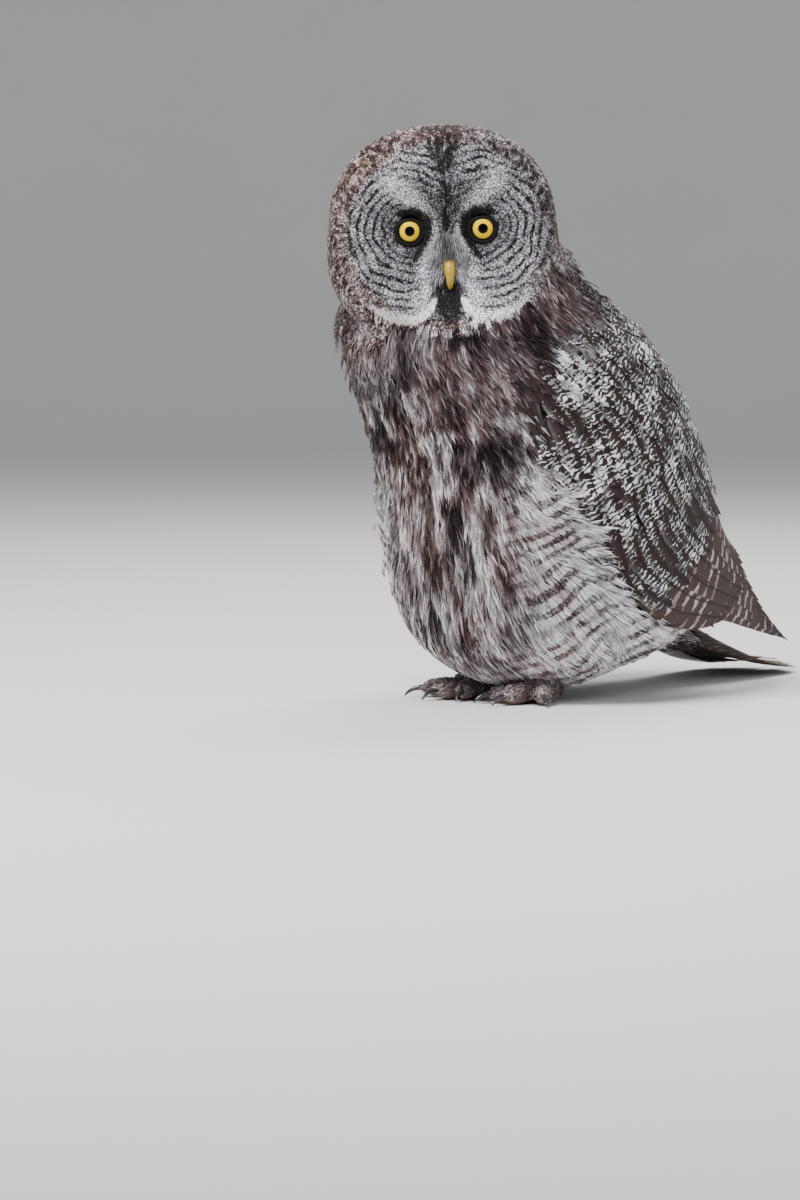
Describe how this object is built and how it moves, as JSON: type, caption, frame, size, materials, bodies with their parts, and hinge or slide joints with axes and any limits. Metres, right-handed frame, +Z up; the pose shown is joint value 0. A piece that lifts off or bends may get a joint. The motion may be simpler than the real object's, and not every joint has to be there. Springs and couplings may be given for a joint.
{
  "type": "great grey owl",
  "caption": "Life-size still model of a great grey owl standing on both feet, its head turned to its left and its tail laid back along the floor.",
  "frame": {"origin": "middle of the owl's bounding box, at the level of the floor it stands on", "axes": "+Z up, +Y towards the tail tip, +X towards the owl's left wing"},
  "size_m": [0.2644, 0.5728, 0.4731],
  "materials": {
    "face_plumage": "soft matte feather, grey with dark rings",
    "body_plumage": "soft matte feather, grey-brown streaks on pale grey",
    "flight_feathers": "satin feather vanes, brown with paler bars",
    "foot_plumage": "short dense feather",
    "bill": "satin horn, dull yellow",
    "claw": "polished black horn",
    "eye": "wet gloss, yellow iris round a black pupil"
  },
  "bodies": {
    "root": {"head": "face_plumage", "neck": "body_plumage", "torso": "body_plumage", "bill_upper": "bill", "bill_lower": "bill", "tail": "flight_feathers", "eye_left": "eye", "wing_left": "flight_feathers", "leg_left": "body_plumage", "foot_left": "foot_plumage", "claw_left_hind": "claw", "claw_left_inner": "claw", "claw_left_middle": "claw", "claw_left_outer": "claw", "eye_right": "eye", "wing_right": "flight_feathers", "leg_right": "body_plumage", "foot_right": "foot_plumage", "claw_right_hind": "claw", "claw_right_inner": "claw", "claw_right_middle": "claw", "claw_right_outer": "claw"}
  },
  "joints": []
}
